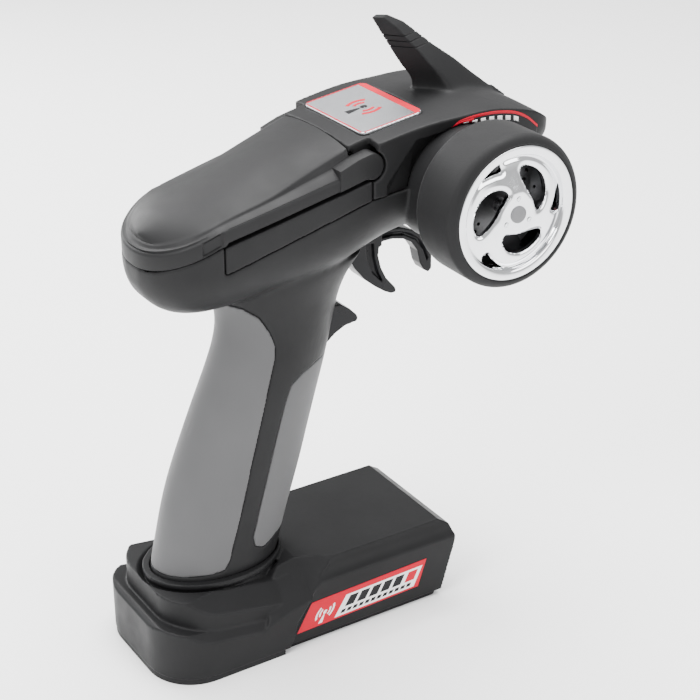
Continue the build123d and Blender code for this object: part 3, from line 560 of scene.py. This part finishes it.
WINDOW = [(8.0, 36), (7.9, 12), (9.0, -3), (11.2, 0), (13.4, 10), (15.6, 24), (17.3, 42), (17.9, 60),
          (17.8, 76), (16.2, 83), (13.4, 81), (10.4, 70), (8.6, 54)]
SLIT = [(18.0, 111), (20.8, 109.5), (21.6, 114), (21.6, 126), (21.5, 139), (20.2, 132), (18.8, 121)]
DISH = [(0, 65.2), (6.4, 65.15), (8.4, 64.85), (12, 63.9), (16, 62.9), (20, 62.2), (21.4, 62.15),
        (22.0, 62.5)]


def cutter(loop, x0, x1, grow=0.0):
    """Prism along X of a loop in the wheel's plane."""
    cx = sum(p[0] for p in loop) / len(loop)
    cy = sum(p[1] for p in loop) / len(loop)
    points = []
    for x, g in ((x0, 0.0), (x1, grow)):
        for u, v in loop:
            d = Vector((u - cx, v - cy))
            d = d * (1 + g / max(d.length, 1e-6))
            points.append((x, WHEEL_Y + cx + d.x, WHEEL_Z + cy + d.y))
    return mesh_of("cutter", points, prism_faces(len(loop)))


def subtract(mesh, cutters):
    """Boolean difference with a list of meshes."""
    base = bpy.data.objects.new("base", mesh)
    tools = bpy.data.collections.new("tools")
    bpy.context.scene.collection.children.link(tools)
    bpy.context.scene.collection.objects.link(base)
    for cut in cutters:
        tools.objects.link(bpy.data.objects.new("tool", cut))
    mod = base.modifiers.new("cut", "BOOLEAN")
    mod.operation = "DIFFERENCE"
    mod.operand_type = "COLLECTION"
    mod.collection = tools
    mod.solver = "EXACT"
    graph = bpy.context.evaluated_depsgraph_get()
    result = bpy.data.meshes.new_from_object(base.evaluated_get(graph))
    for obj in list(tools.objects) + [base]:
        bpy.data.objects.remove(obj)
    bpy.data.collections.remove(tools)
    return result


DISH_INNER, DISH_OUTER, DISH_RINGS, DISH_SEGMENTS, DISH_THICKNESS = 3.2, 22.4, 60, 300, 2.2
BOLT_CIRCLE, BOLT_HOLE = 6.0, 1.05


def dish_mesh():
    """Three swirling spokes: a dished disc, raised along each spoke's leading edge."""
    loops = []
    for k in range(3):
        for knots in (WINDOW, SLIT):
            loops.append(closed_curve([(r, a + 120 * k) for r, a in knots]))
    tree = kdtree.KDTree(sum(len(loop) for loop in loops))
    i = 0
    for loop in loops:
        for u, v in loop:
            tree.insert((u, v, 0), i)
            i += 1
    tree.balance()
    points, rings, segments = [], DISH_RINGS, DISH_SEGMENTS
    for side in (0, 1):
        for j in range(rings + 1):
            r = DISH_INNER + (DISH_OUTER - DISH_INNER) * j / rings
            for k in range(segments):
                u, v = polar(r, 360 * k / segments)
                x = curve(DISH, r)
                if side == 0:
                    gap = tree.find((u, v, 0))[2]
                    swell = min(1.0, gap / 2.2)
                    fade = step(5.5, 9, r) * (1 - step(19.5, 21.5, r))
                    x += fade * (0.75 * (1 - (1 - swell) ** 2) - 0.35)
                    x -= 0.35 * max(0.0, 1 - gap / 0.5) ** 2
                else:
                    x -= DISH_THICKNESS
                points.append((x, WHEEL_Y + u, WHEEL_Z + v))
    faces = strip_faces(rings + 1, segments, closed=True)
    count = (rings + 1) * segments
    faces += [tuple(i + count for i in reversed(f)) for f in faces]
    for ring in (0, rings):
        for k in range(segments):
            a, b = ring * segments + k, ring * segments + (k + 1) % segments
            faces.append((a, b, b + count, a + count) if ring == 0 else (b, a, a + count, b + count))
    disc = mesh_of("dish", points, faces)
    cuts = [cutter(loop, 55, 70) for loop in loops]
    for k in range(3):
        hole = [tuple(Vector(polar(BOLT_CIRCLE, 90 + 120 * k)) + Vector(polar(BOLT_HOLE, 15 * j)))
                for j in range(24)]
        cuts.append(cutter(hole, 64.5, 70))
    mesh = subtract(disc, cuts)
    sharpen(mesh, 34)
    return mesh


put_in_scene("wheel_spokes", dish_mesh(), CHROME, "wheel", ("wheel_rim",))
lip = [(43.6, 22.9), (43.6, 24.5), (60.4, 24.6), (62.3, 24.95), (62.6, 25.85), (64.15, 25.85),
       (64.45, 25.75), (64.58, 25.45), (64.5, 24.4), (64.3, 23.2), (64.1, 22.55), (63.8, 22.25),
       (63.2, 22.05), (62.5, 21.9), (62.2, 21.6), (61.7, 21.5), (61.0, 22.0), (58.0, 22.9),
       (43.6, 22.9)]
rim_mesh = mesh_of("rim_barrel", *lathe(lip, 192))
sharpen(rim_mesh, 50)
put_in_scene("rim_barrel", rim_mesh, CHROME, "wheel")
BOLT_PROFILE = [(64.5, 0.95), (65.35, 0.95), (65.5, 0.8), (65.5, 0.5), (65.25, 0.42), (65.25, 0.0)]
bolts_points, bolts_faces = [], []
for k in range(3):
    cu, cv = polar(BOLT_CIRCLE, 90 + 120 * k)
    start = len(bolts_points)
    for x, r in BOLT_PROFILE:
        for j in range(24):
            du, dv = polar(r, 15 * j)
            bolts_points.append((x, WHEEL_Y + cu + du, WHEEL_Z + cv + dv))
    bolts_faces += [tuple(start + i for i in f)
                    for f in strip_faces(len(BOLT_PROFILE), 24, closed=True)]
bolt_mesh = mesh_of("spoke_bolts", bolts_points, bolts_faces)
sharpen(bolt_mesh, 40)
put_in_scene("spoke_bolts", bolt_mesh, CHROME, "wheel", ("wheel_bolts",))
cap = [(64.3, 3.15), (65.35, 3.3), (65.7, 3.2)] + [(65.7 + 0.95 * math.sin(math.radians(a)),
                                                    3.2 * math.cos(math.radians(a)))
                                                   for a in range(10, 91, 10)]
put_in_scene("hub_dome", mesh_of("hub_dome", *lathe(cap, 64)), HUB, "wheel", ("hub_cap",))

# ---------------------------------------------------------------- grooves, recess and channels
def cut_away(obj, cutters, material):
    """Cuts a finished piece and gives it back its one material."""
    obj.data = subtract(obj.data, cutters)
    obj.data.materials.clear()
    obj.data.materials.append(material)


GROOVES = [fin_groove(*at, -0.06, 0.42, 0.5) for at in ((50.0, 236.8), (52.0, 234.4), (54.5, 231.9))]
HOLLOW = prism([(39.6, 205.4), (27.2, 190.4), (27.2, 180.0), (84.0, 180.0), (84.0, 199.0),
                (70.0, 206.0), (52.0, 206.4)], 28.7, 40)
cut_away(COWL, GROOVES + [HOLLOW], PLASTIC)
CHANNEL = [(41.6, 158.4), (44, 158.5), (51, 157.7), (56.2, 155.6), (60.0, 152.7), (63.4, 148.2),
           (65.2, 143.0), (64.2, 141.8), (62.1, 147.2), (58.5, 152.1), (53.2, 155.2), (47.8, 156.3),
           (41.6, 156.2)]
WEB_HALF = 2.3
cut_away(TRIGGER_COPY, [prism(CHANNEL, WEB_HALF, 6), prism(CHANNEL, -6, -WEB_HALF)], TRIGGER)

# ---------------------------------------------------------------- printed films
def ink(name, colour):
    return moulded(name, colour, rough=0.5, grain=0.8, depth=0.01, spread=0.04)


RED_INK = ink("red_ink", (0.48, 0.004, 0.022))
WHITE_INK = ink("white_ink", (0.80, 0.80, 0.80))
DARK_INK = ink("dark_ink", (0.012, 0.012, 0.013))


def plate(name, place, outlines, thickness, material, replaced=()):
    """Thin printed shapes; place(u, v, h) turns film coordinates and a height into a point in mm."""
    points, faces = [], []
    for outline in outlines:
        faces += prism_faces(len(outline), len(points))
        for h in (0.0, thickness):
            points += [place(u, v, h) for u, v in outline]
    mesh = mesh_of(name, points, faces)
    sharpen(mesh, 30)
    return put_in_scene(name, mesh, material, "root", replaced)


BAR_LEAN = 0.03


def bar(u0, u1, v0, v1):
    """Leaning bar in film coordinates."""
    return [(u + BAR_LEAN * v, v) for u, v in ((u0, v0), (u1, v0), (u1, v1), (u0, v1))]


def ring_shape(cu, cv, ru, rv, start, end, inner, count=28):
    """Part of a flat ring in film coordinates."""
    outer = [(cu + ru * math.cos(math.radians(start + (end - start) * k / count)),
              cv + rv * math.sin(math.radians(start + (end - start) * k / count)))
             for k in range(count + 1)]
    core = [(cu + inner * (u - cu), cv + inner * (v - cv)) for u, v in reversed(outer)]
    return outer + core


SIDE = [(-16.2, 6.5), (43.6, 8.2), (47.7, 20.5), (-9.0, 18.9)]


def on_side(u, v, h):
    (y0, z0), (y1, z1), (y2, z2), (y3, z3) = SIDE
    y = (1 - v) * ((1 - u) * y0 + u * y1) + v * ((1 - u) * y3 + u * y2)
    z = (1 - v) * ((1 - u) * z0 + u * z1) + v * ((1 - u) * z3 + u * z2)
    return 31.0 + h, y, z


plate("side_film", on_side, [[(0, 0), (1, 0), (1, 1), (0, 1)]], 0.14, RED_INK,
      ("side_label",))
plate("side_film_white", on_side, [bar(0.30, 0.955, 0.07, 0.80)], 0.19, WHITE_INK)
bars = [bar(0.345 + 0.098 * k, 0.345 + 0.098 * k + 0.072, 0.36, 0.72) for k in range(5)]
plate("side_film_bars", on_side, bars, 0.23, DARK_INK)
plate("side_film_accent", on_side, [bar(0.845, 0.925, 0.36, 0.72)], 0.23, RED_INK)
dashes = [bar(0.335 + 0.0495 * k, 0.335 + 0.0495 * k + 0.034, 0.15, 0.27) for k in range(12)]
plate("side_film_dashes", on_side, dashes, 0.23, DARK_INK)
SIDE_W, SIDE_H = 59.8, 12.1


def radio_mark(cu, cv, width, height, size):
    """Generic sign for radio: a mast with waves on both sides; size is its radius in mm."""
    arcs = [ring_shape(cu, cv, r * size / width, r * size / height, a - 38, a + 38, inner, 10)
            for a in (0, 180) for r, inner in ((0.62, 0.72), (1.0, 0.80))]
    dot = ring_shape(cu, cv, 0.2 * size / width, 0.2 * size / height, 0, 340, 0.05, 12)
    mast = [(cu - 0.07 * size / width, cv - 0.25 * size / height),
            (cu - 0.22 * size / width, cv - 1.05 * size / height),
            (cu + 0.22 * size / width, cv - 1.05 * size / height),
            (cu + 0.07 * size / width, cv - 0.25 * size / height)]
    return [*arcs, dot, mast]


plate("side_film_mark", on_side, radio_mark(0.185, 0.46, SIDE_W, SIDE_H, 4.3), 0.20, WHITE_INK)
plate("side_film_edge", on_side, [[(0, 0), (0.012, 0), (0.012, 1), (0, 1)]], 0.18, DARK_INK)

PLATE_Y, PLATE_Z, PLATE_TILT = 35.3, 210.2, math.atan2(4.1, 27.8)


def on_badge(u, v, h):
    """u across, v forward, in mm from the badge's middle."""
    y = PLATE_Y + v * math.cos(PLATE_TILT) - (0.3 + h) * math.sin(PLATE_TILT)
    z = PLATE_Z + v * math.sin(PLATE_TILT) + (0.3 + h) * math.cos(PLATE_TILT)
    return u, y, z


def frame_strip(u0, u1, v0, v1):
    return [(u0, v0), (u1, v0), (u1, v1), (u0, v1)]


plate("badge_border", on_badge,
      [frame_strip(-19.4, 19.4, -13.5, -12.9), frame_strip(-20.6, -20.0, -12.4, 12.4),
       frame_strip(20.0, 20.6, -12.4, 12.4),
       [(-18.6, 13.6), (-20.3, 12.4), (-19.6, 11.0), (19.6, 10.6), (20.3, 12.4), (18.6, 13.6)]],
      0.07, RED_INK)
mark = radio_mark(0, 0.5, 1, 1, 7.4)
plate("badge_waves", on_badge, mark[:4], 0.06, RED_INK)
plate("badge_mast", on_badge, mark[4:], 0.06, DARK_INK)


def drape(name, outline_top, outline_low, columns, rows, lift, material, replaced=()):
    """Film on the cowl's right flank between two (y, z) lines, laid against its surface."""
    points = []
    for i in range(columns + 1):
        t = i / columns
        for j in range(rows + 1):
            q = j / rows
            y = outline_low(t)[0] * (1 - q) + outline_top(t)[0] * q
            z = outline_low(t)[1] * (1 - q) + outline_top(t)[1] * q
            hit, place, _, _ = COWL.ray_cast(Vector((0.05, y * MM, z * MM)), Vector((-1, 0, 0)))
            x = place.x / MM if hit else 29.9
            points.append((x + lift, y, z))
    faces = strip_faces(columns + 1, rows + 1)
    mesh = mesh_of(name, points, faces)
    mesh = baked(mesh, [("SOLIDIFY", {"thickness": 0.12 * MM, "offset": 0.0})])
    return put_in_scene(name, mesh, material, "root", replaced)


ARC_TOP = [(55.6, 207.2), (58.2, 209.1), (62.5, 210.0), (69.0, 210.4), (77.0, 210.0), (85.0, 208.4),
           (91.0, 205.4), (96.5, 200.9)]


def arc_top(t):
    y = ARC_TOP[0][0] + (ARC_TOP[-1][0] - ARC_TOP[0][0]) * t
    return y, curve(ARC_TOP, y)


def arc_line(drop):
    def line(t):
        y, z = arc_top(t)
        return y, z - drop * min(1.0, 4 * t + 0.25)
    return line


drape("shoulder_film", arc_top, arc_line(1.1), 60, 3, 0.08, RED_INK, ("shoulder_label",))
drape("shoulder_film_dark", arc_line(1.1), arc_line(5.2), 60, 8, 0.07, DARK_INK)


def arc_patch(t0, t1, d0, d1):
    return (lambda t: arc_line(d0)(t0 + (t1 - t0) * t)), (lambda t: arc_line(d1)(t0 + (t1 - t0) * t))


drape("shoulder_film_tip", *arc_patch(0.0, 0.24, 0.9, 5.2), 20, 6, 0.09, RED_INK)
for k in range(7):
    start = 0.13 + 0.095 * k
    top, low = arc_patch(start, start + 0.055, 1.9, 3.7)
    drape(f"shoulder_film_dash_{k}", top, low, 4, 3, 0.11, WHITE_INK)

# ---------------------------------------------------------------- floor, light and camera
FLOOR_CELLS, FLOOR_HALF_M = 24, 6.0
floor_mesh = bpy.data.meshes.new("floor")
floor = bpy.data.objects.new("floor", floor_mesh)
bm = bmesh.new()
bmesh.ops.create_grid(bm, x_segments=FLOOR_CELLS, y_segments=FLOOR_CELLS, size=FLOOR_HALF_M)
bm.to_mesh(floor_mesh)
bm.free()
bpy.context.scene.collection.objects.link(floor)
floor_mat, _, _, floor_shader = new_material("studio_floor")
floor_shader.inputs["Base Color"].default_value = (0.93, 0.93, 0.93, 1)
floor_shader.inputs["Roughness"].default_value = 0.9
floor_mesh.materials.append(floor_mat)

world = bpy.data.worlds.new("studio")
bpy.context.scene.world = world
world.use_nodes = True
sky = world.node_tree.nodes["Background"]
sky.inputs["Color"].default_value = (1, 1, 1, 1)
sky.inputs["Strength"].default_value = 0.8


def area_light(name, place, target, size, power):
    data = bpy.data.lights.new(name, "AREA")
    data.shape = "RECTANGLE"
    data.size, data.size_y = size
    data.energy = power
    light = bpy.data.objects.new(name, data)
    light.location = place
    light.rotation_euler = (Vector(target) - Vector(place)).to_track_quat("-Z", "Y").to_euler()
    bpy.context.scene.collection.objects.link(light)


CENTRE = (0, 0, 0.13)
area_light("key", (0.25, -0.95, 0.95), CENTRE, (0.6, 0.6), 16)
area_light("fill_right", (1.1, 0.35, 0.55), CENTRE, (0.9, 0.5), 9)
area_light("top", (-0.2, 0.2, 1.4), CENTRE, (1.2, 1.2), 62)
area_light("rim_left", (-0.9, -0.2, 0.5), CENTRE, (0.5, 0.8), 12)

LENS_MM, CAMERA_PLACE = 87.43, (0.5175, -0.300, 0.414)
CAMERA_AZIMUTH, CAMERA_ELEVATION = 57.5, 26.4
camera_data = bpy.data.cameras.new("camera")
camera_data.sensor_width = 36
camera_data.lens = LENS_MM
camera_data.clip_end = 100
camera = bpy.data.objects.new("camera", camera_data)
azimuth, elevation = math.radians(CAMERA_AZIMUTH), math.radians(CAMERA_ELEVATION)
back = Vector((math.sin(azimuth) * math.cos(elevation), -math.cos(azimuth) * math.cos(elevation),
               math.sin(elevation)))
camera.location = CAMERA_PLACE
camera.rotation_euler = back.to_track_quat("Z", "Y").to_euler()
bpy.context.scene.collection.objects.link(camera)
bpy.context.scene.camera = camera
